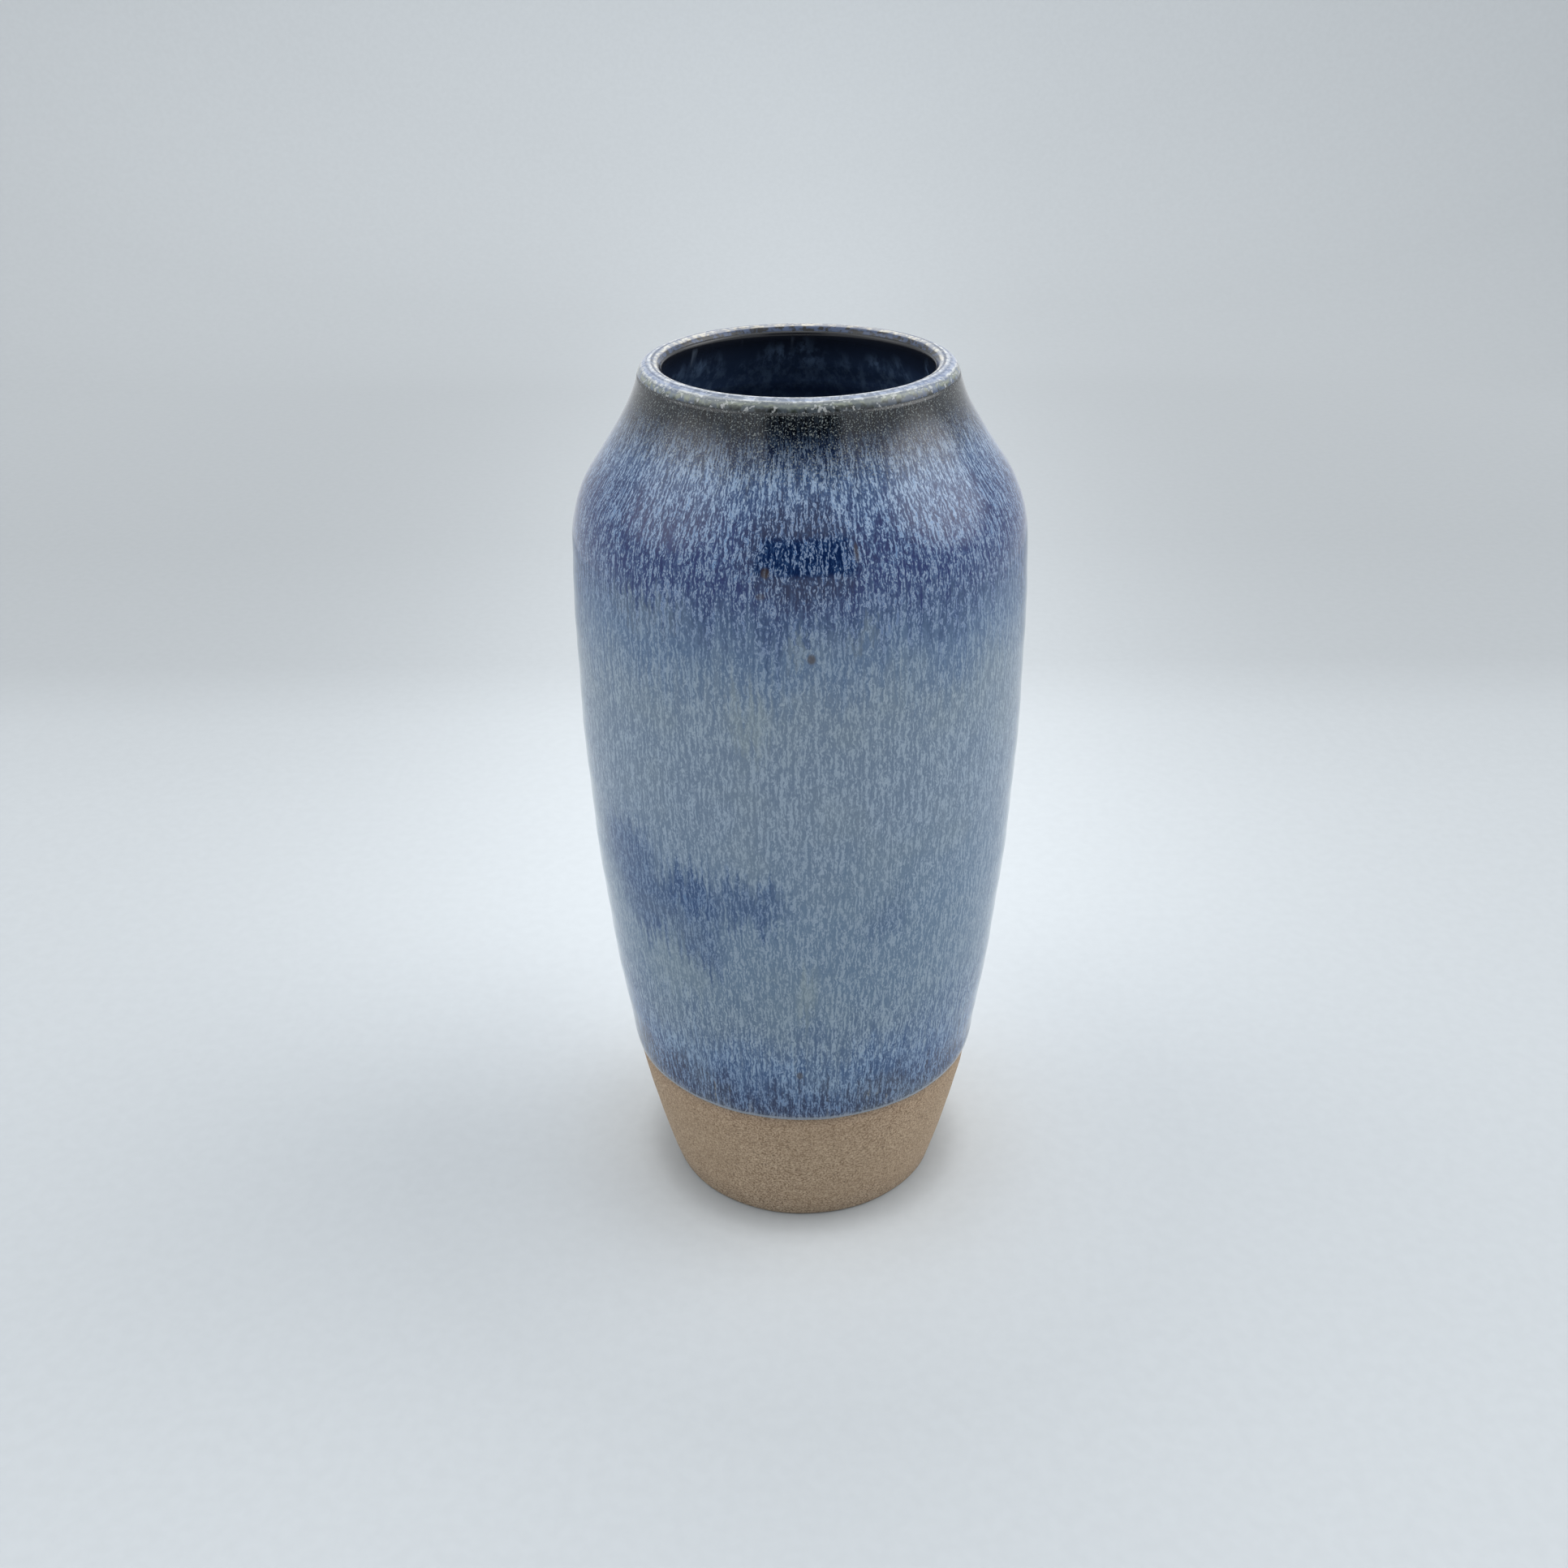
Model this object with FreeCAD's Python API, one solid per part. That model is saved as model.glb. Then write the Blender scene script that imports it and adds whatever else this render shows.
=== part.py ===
import FreeCAD, Part
import math
import os
from collections import namedtuple

# A wheel-thrown stoneware vase. Millimetres; Z is the axis of the pot, and the origin is
# the centre of the foot, on the surface that the vase stands on.
#
# The clay's skin is followed as one line: up the outside, over the lip, down the inside
# and across the floor to the axis. It is a chain of stations joined by tangent arcs. A
# station's tilt, in degrees, is how far the line leans from straight up: a positive tilt
# leans away from the axis, -90 runs level towards it and -180 runs straight down. An
# arc's bend is its radius, negative where the skin is hollow.

HEIGHT = 250.0            # overall, to the crown of the glazed lip
FOOT_RADIUS = 40.7        # where the outside wall would meet the table with a sharp edge
FOOT_TILT = 17.0
OUTSIDE_WALL = (          # (height, tilt) up the outside
    (44.0, 9.0),          # the bare foot runs into the belly
    (184.0, -1.0),        # the widest part of the belly
    (204.0, -2.0),        # the start of the shoulder
    (222.5, -35.0),       # the end of the shoulder's round
    (237.0, -29.5),       # the shoulder's cone starts to hollow into the collar
)
COLLAR_TILT = -14.5       # at the top of the collar, where the lip's round begins
WALL = 5.3                # clay thickness
LIP_OUTER_ROUND = 3.1     # radius of the clay lip's outer half
LIP_SPLIT_TILT = -150.0   # where the lip's pale glaze meets the liner, inside the lip

FOOT_EDGE_ROUND = 1.2     # sponged edge between the wall and the foot ring
FOOT_RING_INNER = 33.0    # inner radius of the ring that the vase stands on
FOOT_RECESS_SLOPE = 1.5   # how far the trimmed recess narrows on its way up
FOOT_RECESS_DEPTH = 2.5
FLOOR_HEIGHT = 9.0        # top of the clay floor
FLOOR_FILLET = 14.0       # between the floor and the inside wall

GLAZE = 0.5               # thickness of each glaze coat
GLAZE_LINE = 45.2         # height of the outer glaze's rolled lower edge

QUARTER_TURN = 90.0
HALF_TURN = 180.0
LEVEL_INWARD = -90.0      # tilt of a level line that runs towards the axis
LEVEL_OUTWARD = 90.0      # tilt of a level line that runs away from the axis

Station = namedtuple("Station", "radius height tilt")


def sine(degrees):
    return math.sin(math.radians(degrees))


def cosine(degrees):
    return math.cos(math.radians(degrees))


def bend_to(start, height, tilt):
    """Bend of the arc that leaves start and has the given tilt at the given height."""
    return (height - start.height) / (sine(start.tilt) - sine(tilt))


def along(start, bend, tilt):
    """The station with the given tilt on the arc of this bend that leaves start."""
    radius = start.radius + bend * (cosine(tilt) - cosine(start.tilt))
    height = start.height + bend * (sine(start.tilt) - sine(tilt))
    return Station(radius, height, tilt)


def climb(start, height, tilt):
    """The station at the given height, where the arc from start has the given tilt."""
    return along(start, bend_to(start, height, tilt), tilt)


def proud(spot, distance):
    """A station moved straight out of the clay."""
    radius = spot.radius + distance * cosine(spot.tilt)
    height = spot.height - distance * sine(spot.tilt)
    return Station(radius, height, spot.tilt)


def through_wall(spot):
    """The station on the inside that lies straight through the wall from spot."""
    inside = proud(spot, -WALL)
    return Station(inside.radius, inside.height, spot.tilt - HALF_TURN)


def corner_round(start, end, level, level_tilt, bend):
    """The two ends of the round between the wall's arc start-end and a level line."""
    wall_bend = bend_to(start, end.height, end.tilt)
    wall_centre = start.height + wall_bend * sine(start.tilt)
    round_centre = level + bend * sine(level_tilt)
    lean = (wall_centre - round_centre) / (wall_bend - bend)
    tilt = math.degrees(math.asin(lean))
    if start.tilt < LEVEL_INWARD:
        tilt = -HALF_TURN - tilt
    on_wall = along(start, wall_bend, tilt)
    return on_wall, along(on_wall, bend, level_tilt)


def outside_stations():
    """The outside wall, from the foot's sharp corner to the top of the collar."""
    line = [Station(FOOT_RADIUS, 0.0, FOOT_TILT)]
    for height, tilt in OUTSIDE_WALL:
        line.append(climb(line[-1], height, tilt))
    collar_top = HEIGHT - GLAZE - LIP_OUTER_ROUND * (1.0 + sine(COLLAR_TILT))
    line.append(climb(line[-1], collar_top, COLLAR_TILT))
    return line


def lip_stations(collar):
    """The lip's crown, its glaze split and its inner end, over from the collar's top.

    The inner half's radius is the one that lands it on the inside wall.
    """
    crown = along(collar, LIP_OUTER_ROUND, LEVEL_INWARD)
    lean = sine(-COLLAR_TILT)
    inner_round = (WALL - LIP_OUTER_ROUND * (1.0 - lean)) / (1.0 + lean)
    split = along(crown, inner_round, LIP_SPLIT_TILT)
    inner_end = along(crown, inner_round, COLLAR_TILT - HALF_TURN)
    return crown, split, inner_end


def inside_stations(outside):
    """The inside wall from below the lip down to the centre of the floor."""
    line = [through_wall(spot) for spot in reversed(outside[:-1])]
    on_wall, on_floor = corner_round(
        line[-2], line[-1], FLOOR_HEIGHT, LEVEL_INWARD, -FLOOR_FILLET
    )
    centre = Station(0.0, FLOOR_HEIGHT, LEVEL_INWARD)
    return line[:-1] + [on_wall, on_floor, centre]


def point(spot):
    return FreeCAD.Vector(spot.radius, 0.0, spot.height)


def straight(start, end):
    return Part.LineSegment(point(start), point(end)).toShape()


def arc(start, middle, end):
    return Part.Arc(point(start), point(middle), point(end)).toShape()


def skin_edges(line):
    """Tangent arcs along the stations, or a straight line where the tilt stays the same."""
    edges = []
    for start, end in zip(line, line[1:]):
        if start.tilt == end.tilt:
            edges.append(straight(start, end))
        else:
            bend = bend_to(start, end.height, end.tilt)
            middle = along(start, bend, (start.tilt + end.tilt) / 2.0)
            edges.append(arc(start, middle, end))
    return edges


def turned(edges):
    """The solid that a closed outline sweeps in one turn about the pot's axis."""
    wire = Part.Wire(Part.__sortEdges__(edges))
    axis = FreeCAD.Vector(0.0, 0.0, 1.0)
    return Part.Face(wire).revolve(FreeCAD.Vector(0.0, 0.0, 0.0), axis, 360.0)


def coat(line):
    """A glaze coat of even thickness over the stations of line, cut square at its ends."""
    surface = [proud(spot, GLAZE) for spot in line]
    edges = skin_edges(line) + skin_edges(surface)
    edges.append(straight(line[0], surface[0]))
    edges.append(straight(line[-1], surface[-1]))
    return turned(edges)


def clay_body(outside, lip, inside):
    """The thrown pot with its trimmed foot: one piece of fired clay."""
    on_wall, ring_outer = corner_round(
        outside[0], outside[1], 0.0, LEVEL_OUTWARD, FOOT_EDGE_ROUND
    )
    ring_inner = Station(FOOT_RING_INNER, 0.0, LEVEL_OUTWARD)
    roof_radius = FOOT_RING_INNER - FOOT_RECESS_SLOPE
    recess_edge = Station(roof_radius, FOOT_RECESS_DEPTH, LEVEL_OUTWARD)
    recess_centre = Station(0.0, FOOT_RECESS_DEPTH, LEVEL_OUTWARD)
    crown, _, inner_end = lip
    skin = [ring_outer, on_wall] + outside[1:] + [crown, inner_end] + inside
    edges = skin_edges(skin)
    edges.append(straight(ring_outer, ring_inner))
    edges.append(straight(ring_inner, recess_edge))
    edges.append(straight(recess_edge, recess_centre))
    edges.append(straight(recess_centre, inside[-1]))
    return turned(edges)


def outer_glaze(outside):
    """The outside coat, from its rolled lower edge on the belly to the collar's top."""
    foot_top, belly = outside[1:3]
    bend = bend_to(foot_top, belly.height, belly.tilt)
    lean = sine(foot_top.tilt) - (GLAZE_LINE - foot_top.height) / bend
    edge = along(foot_top, bend, math.degrees(math.asin(lean)))
    roll = along(edge, bend, edge.tilt - math.degrees(GLAZE / bend))
    bulge = proud(roll._replace(tilt=roll.tilt + QUARTER_TURN / 2.0), GLAZE)
    surface = [proud(spot, GLAZE) for spot in [roll] + outside[2:]]
    edges = skin_edges([edge] + outside[2:]) + skin_edges(surface)
    edges.append(arc(edge, bulge, surface[0]))
    edges.append(straight(outside[-1], surface[-1]))
    return turned(edges)


def rim_glaze(collar, lip):
    """The pale band over the lip, where the outside and inside coats overlap."""
    crown, split, _ = lip
    return coat([collar, crown, split])


def liner_glaze(lip, inside):
    """The dark coat inside, from within the lip down over the floor."""
    _, split, inner_end = lip
    return coat([split, inner_end] + inside)


def build():
    outside = outside_stations()
    lip = lip_stations(outside[-1])
    inside = inside_stations(outside)
    return {
        "clay_body": clay_body(outside, lip, inside),
        "outer_glaze": outer_glaze(outside),
        "rim_glaze": rim_glaze(outside[-1], lip),
        "liner_glaze": liner_glaze(lip, inside),
    }


def main():
    os.makedirs("parts", exist_ok=True)
    for name, shape in build().items():
        shape.exportStep(f"parts/{name}.step")
        box = shape.optimalBoundingBox(False)
        widest = max(box.XMax, -box.XMin)
        print(f"{name}: valid {shape.isValid()}, {len(shape.Solids)} solid,"
              f" {shape.Volume / 1000.0:.2f} cm3, z {box.ZMin:.2f} to {box.ZMax:.2f},"
              f" radius {widest:.2f}")


main()
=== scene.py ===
import math
from collections import namedtuple
from functools import reduce

import bpy
import numpy as np
from mathutils import Matrix, Vector


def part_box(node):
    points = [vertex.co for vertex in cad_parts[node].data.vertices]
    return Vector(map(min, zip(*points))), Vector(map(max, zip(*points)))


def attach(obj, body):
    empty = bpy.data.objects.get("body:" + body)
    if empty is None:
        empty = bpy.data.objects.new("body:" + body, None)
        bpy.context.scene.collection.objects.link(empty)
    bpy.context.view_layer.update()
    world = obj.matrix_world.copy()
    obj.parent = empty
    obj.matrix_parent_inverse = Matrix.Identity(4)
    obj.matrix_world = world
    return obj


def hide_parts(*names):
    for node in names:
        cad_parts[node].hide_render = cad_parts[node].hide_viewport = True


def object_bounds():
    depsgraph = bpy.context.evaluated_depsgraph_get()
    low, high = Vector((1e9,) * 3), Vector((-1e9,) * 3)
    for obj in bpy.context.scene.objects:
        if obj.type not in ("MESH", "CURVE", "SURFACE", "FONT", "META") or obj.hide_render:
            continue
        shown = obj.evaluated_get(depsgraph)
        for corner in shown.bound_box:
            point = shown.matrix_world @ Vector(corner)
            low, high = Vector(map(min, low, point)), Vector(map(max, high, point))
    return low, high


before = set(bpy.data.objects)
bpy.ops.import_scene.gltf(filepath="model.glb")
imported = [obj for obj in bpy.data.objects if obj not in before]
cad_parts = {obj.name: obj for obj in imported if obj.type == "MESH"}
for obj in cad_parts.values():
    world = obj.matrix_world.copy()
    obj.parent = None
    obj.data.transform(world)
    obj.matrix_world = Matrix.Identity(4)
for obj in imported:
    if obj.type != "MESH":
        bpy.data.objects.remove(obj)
cad_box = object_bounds()

# A wheel-thrown stoneware vase. Metres; Z is the axis of the pot. The profile repeats the
# CAD model's chain of stations joined by tangent arcs, and each piece adds what the hand
# and the kiln did to it: throwing rings, grooves in the lip, a rolled glaze edge.
#
# A station's tilt, in degrees, is how far the skin leans from straight up: a positive tilt
# leans away from the axis, -90 runs level towards it and -180 runs straight down. An arc's
# bend is its radius, negative where the skin is hollow.

MM = 0.001
HEIGHT = cad_box[1].z
FOOT_RADIUS = 40.7 * MM             # where the outside wall would meet the table
FOOT_TILT = 17.0
OUTSIDE_WALL = (                    # (height, tilt) up the outside
    (44.0 * MM, 9.0),
    (184.0 * MM, -1.0),
    (204.0 * MM, -2.0),
    (222.5 * MM, -35.0),
    (237.0 * MM, -29.5),
)
COLLAR_TILT = -14.5
WALL = 5.3 * MM
LIP_OUTER_ROUND = 3.1 * MM
LIP_SPLIT_TILT = -150.0             # where the lip's glaze meets the liner
FOOT_EDGE_ROUND = 1.2 * MM
FOOT_RING_INNER = 33.3 * MM         # inner radius of the flat that the pot stands on
FOOT_RECESS_TILT = 149.0            # slope of the trimmed recess, running down and out
FOOT_RECESS_DEPTH = 2.5 * MM
RECESS_CORNER_ROUND = 0.8 * MM
RING_INNER_ROUND = 0.6 * MM
FLOOR_HEIGHT = 9.0 * MM
FLOOR_FILLET = 14.0 * MM
GLAZE = 0.5 * MM
GLAZE_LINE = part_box("outer_glaze")[0].z

QUARTER_TURN = 90.0
HALF_TURN = 180.0
LEVEL_INWARD = -90.0                # tilt of a level line that runs towards the axis
LEVEL_OUTWARD = 90.0                # tilt of a level line that runs away from the axis
FULL_CIRCLE = 2.0 * math.pi

SEGMENTS = 360                      # around the pot
LINER_SEGMENTS = 288
STAGE_SEGMENTS = 128

Station = namedtuple("Station", "radius height tilt")
Skin = namedtuple("Skin", "radius height tilt distance")


# ---------------------------------------------------------------- profile

def sine(degrees):
    return np.sin(np.radians(degrees))


def cosine(degrees):
    return np.cos(np.radians(degrees))


def bend_to(start, height, tilt):
    """Bend of the arc that leaves start and has the given tilt at the given height."""
    return (height - start.height) / (sine(start.tilt) - sine(tilt))


def along(start, bend, tilt):
    """The station with the given tilt on the arc of this bend that leaves start."""
    radius = start.radius + bend * (cosine(tilt) - cosine(start.tilt))
    height = start.height + bend * (sine(start.tilt) - sine(tilt))
    return Station(radius, height, tilt)


def climb(start, height, tilt):
    """The station at the given height, where the arc from start has the given tilt."""
    return along(start, bend_to(start, height, tilt), tilt)


def through_wall(spot):
    """The station on the inside that lies straight through the wall from spot."""
    radius = spot.radius - WALL * cosine(spot.tilt)
    height = spot.height + WALL * sine(spot.tilt)
    return Station(radius, height, spot.tilt - HALF_TURN)


def corner_round(start, end, level, level_tilt, bend):
    """The two ends of the round between the wall's arc start-end and a level line."""
    wall_bend = bend_to(start, end.height, end.tilt)
    wall_centre = start.height + wall_bend * sine(start.tilt)
    round_centre = level + bend * sine(level_tilt)
    tilt = math.degrees(math.asin((wall_centre - round_centre) / (wall_bend - bend)))
    if start.tilt < LEVEL_INWARD:
        tilt = -HALF_TURN - tilt
    on_wall = along(start, wall_bend, tilt)
    return on_wall, along(on_wall, bend, level_tilt)


def outside_stations():
    """The outside wall, from the foot's sharp corner to the top of the collar."""
    line = [Station(FOOT_RADIUS, 0.0, FOOT_TILT)]
    for height, tilt in OUTSIDE_WALL:
        line.append(climb(line[-1], height, tilt))
    collar_top = HEIGHT - GLAZE - LIP_OUTER_ROUND * (1.0 + sine(COLLAR_TILT))
    line.append(climb(line[-1], collar_top, COLLAR_TILT))
    return line


def lip_stations(collar):
    """The lip's crown, its glaze split and its inner end, over from the collar's top."""
    crown = along(collar, LIP_OUTER_ROUND, LEVEL_INWARD)
    lean = sine(-COLLAR_TILT)
    inner_round = (WALL - LIP_OUTER_ROUND * (1.0 - lean)) / (1.0 + lean)
    split = along(crown, inner_round, LIP_SPLIT_TILT)
    return crown, split, along(crown, inner_round, COLLAR_TILT - HALF_TURN)


def inside_stations(outside):
    """The inside wall from below the lip down to the centre of the floor."""
    line = [through_wall(spot) for spot in reversed(outside[:-1])]
    on_wall, on_floor = corner_round(
        line[-2], line[-1], FLOOR_HEIGHT, LEVEL_INWARD, -FLOOR_FILLET
    )
    return line[:-1] + [on_wall, on_floor, Station(0.0, FLOOR_HEIGHT, LEVEL_INWARD)]


def underside_stations():
    """From the centre of the recess under the foot to the inner edge of the foot ring.

    The recess's side is worked out from the axis, then moved out to the foot ring.
    """
    centre = Station(0.0, FOOT_RECESS_DEPTH, LEVEL_OUTWARD)
    corner = along(centre, -RECESS_CORNER_ROUND, FOOT_RECESS_TILT)
    slope_foot = RING_INNER_ROUND * (1.0 - sine(FOOT_RECESS_TILT))
    slope_run = (corner.height - slope_foot) * math.tan(
        math.radians(HALF_TURN - FOOT_RECESS_TILT)
    )
    slope_end = Station(corner.radius + slope_run, slope_foot, FOOT_RECESS_TILT)
    ring = along(slope_end, RING_INNER_ROUND, LEVEL_OUTWARD)
    shift = FOOT_RING_INNER - ring.radius
    side = [centre, corner, slope_end, ring]
    return [centre] + [spot._replace(radius=spot.radius + shift) for spot in side]


def trace(stations, spacing):
    """Closely spaced points along the arcs and lines that join the stations."""
    rows = []
    for start, end in zip(stations, stations[1:]):
        if start.tilt == end.tilt:
            length = math.hypot(end.radius - start.radius, end.height - start.height)
            steps = np.linspace(0.0, 1.0, max(2, math.ceil(length / spacing) + 1))
            radius = start.radius + (end.radius - start.radius) * steps
            height = start.height + (end.height - start.height) * steps
            tilt = np.full(len(steps), start.tilt)
        else:
            bend = bend_to(start, end.height, end.tilt)
            length = abs(bend * math.radians(end.tilt - start.tilt))
            count = max(4, math.ceil(length / spacing) + 1)
            tilt = np.linspace(start.tilt, end.tilt, count)
            radius = start.radius + bend * (cosine(tilt) - cosine(start.tilt))
            height = start.height + bend * (sine(start.tilt) - sine(tilt))
        shared = 1 if rows else 0       # the point where this stretch meets the last one
        rows.append(np.stack([radius, height, tilt])[:, shared:])
    radius, height, tilt = np.concatenate(rows, axis=1)
    steps = np.hypot(np.diff(radius), np.diff(height))
    return Skin(radius, height, tilt, np.concatenate([[0.0], np.cumsum(steps)]))


def at(skin, distance):
    """Radius, height and tilt of a skin at distances along it."""
    return [np.interp(distance, skin.distance, row) for row in skin[:3]]


def distance_at_height(skin, height):
    """How far along a skin that only climbs a height is reached."""
    return float(np.interp(height, skin.height, skin.distance))


# ---------------------------------------------------------------- meshes

OUT_OF_ROUND = (                    # (lobes, depth, phase) round the pot
    (2.0, 0.16 * MM, 0.8),
    (3.0, 0.07 * MM, -1.1),
)
OVAL_AT_FOOT = 0.4                  # share of it that the trimmed foot keeps
THROWING_RING = 0.035 * MM          # depth of the fine spiral outside
THROWING_PITCH = 11.0 * MM
WALL_SWELL = 0.10 * MM              # depth of the slower swells up the wall
SWELL_PITCH = 37.0 * MM
SWELL_PHASE = 1.4
RINGS_START = 4.0 * MM              # height where both set in
RINGS_RISE = 30.0 * MM              # height over which they then grow
RINGS_LIP = 12.0 * MM               # depth below the lip where they weaken towards it
FINGER_RING = 0.16 * MM             # depth of the spiral that fingers left inside
FINGER_PITCH = 8.5 * MM
TURNING_MARK = 0.018 * MM           # depth of the tool's marks on the bare foot
TURNING_PITCH = 2.3 * MM
EDGE_NICK = 0.10 * MM               # depth of the sponged edge's unevenness
EDGE_WAVES = (                      # (lobes, depth, phase) of the outer glaze's edge
    (5.0, 0.07 * MM, 0.7),
    (11.0, 0.06 * MM, 2.1),
    (23.0, 0.04 * MM, 0.0),
    (41.0, 0.03 * MM, 1.0),
)
GLAZE_BEAD = 0.16 * MM              # how much the outer glaze thickens above its edge
BEAD_RISE = 3.0 * MM
BEAD_SPREAD = 2.4 * MM
LIP_GROOVES = (                     # (offset from the crown, depth, width)
    (-1.15 * MM, 0.10 * MM, 0.22 * MM),
    (-0.2 * MM, 0.06 * MM, 0.18 * MM),
    (0.75 * MM, 0.09 * MM, 0.2 * MM),
)
GROOVE_DRIFT = 0.12 * MM
COAT_SUNK = 0.15 * MM               # of a coat's back in the clay, so that no gap shows
LINER_SUNK = 0.3 * MM


def angles(segments):
    return np.linspace(0.0, FULL_CIRCLE, segments, endpoint=False)


def hump(values, middle, spread):
    """A bell-shaped rise to 1 at middle."""
    return np.exp(-((values - middle) / spread) ** 2)


def wobble(angle, height, radius):
    """How far the hand-thrown wall strays from a true circle, outwards."""
    oval = sum(depth * np.cos(lobes * angle + phase) for lobes, depth, phase in OUT_OF_ROUND)
    spiral = FULL_CIRCLE * height / THROWING_PITCH + angle
    swell = FULL_CIRCLE * height / SWELL_PITCH + SWELL_PHASE
    rings = THROWING_RING * np.sin(spiral) + WALL_SWELL * np.sin(swell)
    free = np.clip((height - RINGS_START) / RINGS_RISE, 0.0, 1.0)
    lip = np.clip((HEIGHT - height) / RINGS_LIP, 0.25, 1.0)
    stray = oval * (OVAL_AT_FOOT + (1.0 - OVAL_AT_FOOT) * free) + rings * free * lip
    return stray * np.clip(radius / (30.0 * MM), 0.0, 1.0)


def pushed(skin_point, angle, outwards):
    """Radius and height of points of the skin, moved out of it and wobbled by hand."""
    radius, height, tilt = skin_point
    away = outwards * np.ones_like(angle + radius)
    new_height = height - away * sine(tilt)
    new_radius = radius + away * cosine(tilt)
    return new_radius + wobble(angle, height, radius), new_height


def turned_grid(radius, height):
    """Points about the axis from (point, angle) grids of radius and height."""
    turn = angles(radius.shape[1])
    return np.stack([radius * np.cos(turn), radius * np.sin(turn), height], axis=-1)


def hoop_faces(first, second, segments):
    """The quads between two rows of points, given by the index that each starts at."""
    row = np.arange(segments)
    after = (row + 1) % segments
    return np.stack([first + row, first + after, second + after, second + row], 1).tolist()


def add_mesh(name, points, faces):
    """A smoothly shaded object of these points and faces."""
    mesh = bpy.data.meshes.new(name)
    mesh.from_pydata(points.tolist(), [], faces)
    mesh.polygons.foreach_set("use_smooth", [True] * len(mesh.polygons))
    mesh.update()
    made = bpy.data.objects.new(name, mesh)
    bpy.context.scene.collection.objects.link(made)
    return made


def turned_solid(name, radius, height):
    """A closed mesh turned from grids whose first and last rows lie on the axis."""
    count, segments = radius.shape
    grid = turned_grid(radius, height)
    poles = np.stack([grid[0].mean(0), grid[-1].mean(0)])
    points = np.concatenate([grid[1:-1].reshape(-1, 3), poles])
    start_pole, end_pole = len(points) - 2, len(points) - 1
    faces = []
    for hoop in range(count - 3):
        faces += hoop_faces(hoop * segments, (hoop + 1) * segments, segments)
    last = (count - 3) * segments
    for here in range(segments):
        there = (here + 1) % segments
        faces.append([start_pole, there, here])
        faces.append([last + here, last + there, end_pole])
    return add_mesh(name, points, faces)


def turned_band(name, radius, height):
    """A closed mesh turned from grids whose last row joins the first."""
    count, segments = radius.shape
    faces = []
    for hoop in range(count):
        faces += hoop_faces(hoop * segments, (hoop + 1) % count * segments, segments)
    return add_mesh(name, turned_grid(radius, height).reshape(-1, 3), faces)


def bare_top(outside):
    """The station on the clay a little above the glaze's lower edge."""
    foot_top, belly = outside[1:3]
    bend = bend_to(foot_top, belly.height, belly.tilt)
    lean = sine(foot_top.tilt) - (GLAZE_LINE + 3.0 * MM - foot_top.height) / bend
    return along(foot_top, bend, math.degrees(math.asin(lean)))


def clay_piece(outside, lip, inside):
    """The thrown body, finely traced where it is bare and coarsely under the glaze."""
    on_wall, ring_outer = corner_round(
        outside[0], outside[1], 0.0, LEVEL_OUTWARD, FOOT_EDGE_ROUND
    )
    crown, _, inner_end = lip
    covered = bare_top(outside)
    skins = (
        trace(underside_stations() + [ring_outer], 1.1 * MM),
        trace([ring_outer, on_wall, outside[1], covered], 0.55 * MM),
        trace([covered] + outside[2:] + [crown, inner_end] + inside, 4.4 * MM),
    )
    radius, height, tilt = (
        np.concatenate([skin[part][(1 if after else 0):] for after, skin in enumerate(skins)])
        for part in range(3)
    )
    angle = angles(SEGMENTS)[None, :]
    radius, height, tilt = (values[:, None] for values in (radius, height, tilt))
    bare = (height < GLAZE_LINE) * (cosine(tilt) > 0.3)    # the wall below the glaze
    nicks = EDGE_NICK * np.sin(7.0 * angle + 2.0) * np.sin(3.0 * angle)
    turning = FULL_CIRCLE * height / TURNING_PITCH + angle
    marks = TURNING_MARK * np.sin(turning + 2.0 * np.sin(0.31 * turning))
    outwards = bare * (marks + nicks * hump(height, 1.0 * MM, 1.6 * MM))
    return turned_solid("clay_pot", *pushed((radius, height, tilt), angle, outwards))


def coat_piece(name, skin, front, thickness, back, sunk=COAT_SUNK):
    """A coat of glaze: its surface over the distances front, and its back in the clay.

    front and thickness are (point, angle) grids. The back's distances run the other way.
    """
    angle = angles(front.shape[1])[None, :]
    face = pushed(at(skin, front), angle, thickness)
    rear = pushed([row[:, None] for row in at(skin, back)], angle, -sunk)
    return turned_band(name, *(np.concatenate(pair) for pair in zip(face, rear)))


def outer_coat(outside):
    """The outside coat: thin, with a rolled lower edge that thickens just above it."""
    skin = trace(outside, 0.5 * MM)
    top = skin.distance[-1]
    angle = angles(SEGMENTS)[None, :]
    start = distance_at_height(skin, GLAZE_LINE)
    edge = start + sum(depth * np.sin(lobes * angle + phase)
                       for lobes, depth, phase in EDGE_WAVES)
    roll = GLAZE * (1.0 - np.cos(np.linspace(0.0, math.pi / 2.0, 8)))
    bead_zone = np.arange(1, 16) * 0.4 * MM + GLAZE
    rest = np.linspace(bead_zone[-1], top - start, 185)[1:]
    steps = np.concatenate([roll, bead_zone, rest])[:, None]
    front = edge + steps * (top - edge) / (top - start)
    within_roll = np.clip(1.0 - steps / GLAZE, 0.0, 1.0)
    bead = GLAZE_BEAD * hump(steps, BEAD_RISE, BEAD_SPREAD) * (1.0 - within_roll)
    thickness = GLAZE * np.sqrt(1.0 - within_roll ** 2) + bead
    back = np.linspace(top, start + 0.4 * MM, 40)
    return coat_piece("outer_glaze_coat", skin, front, thickness, back)


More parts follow.
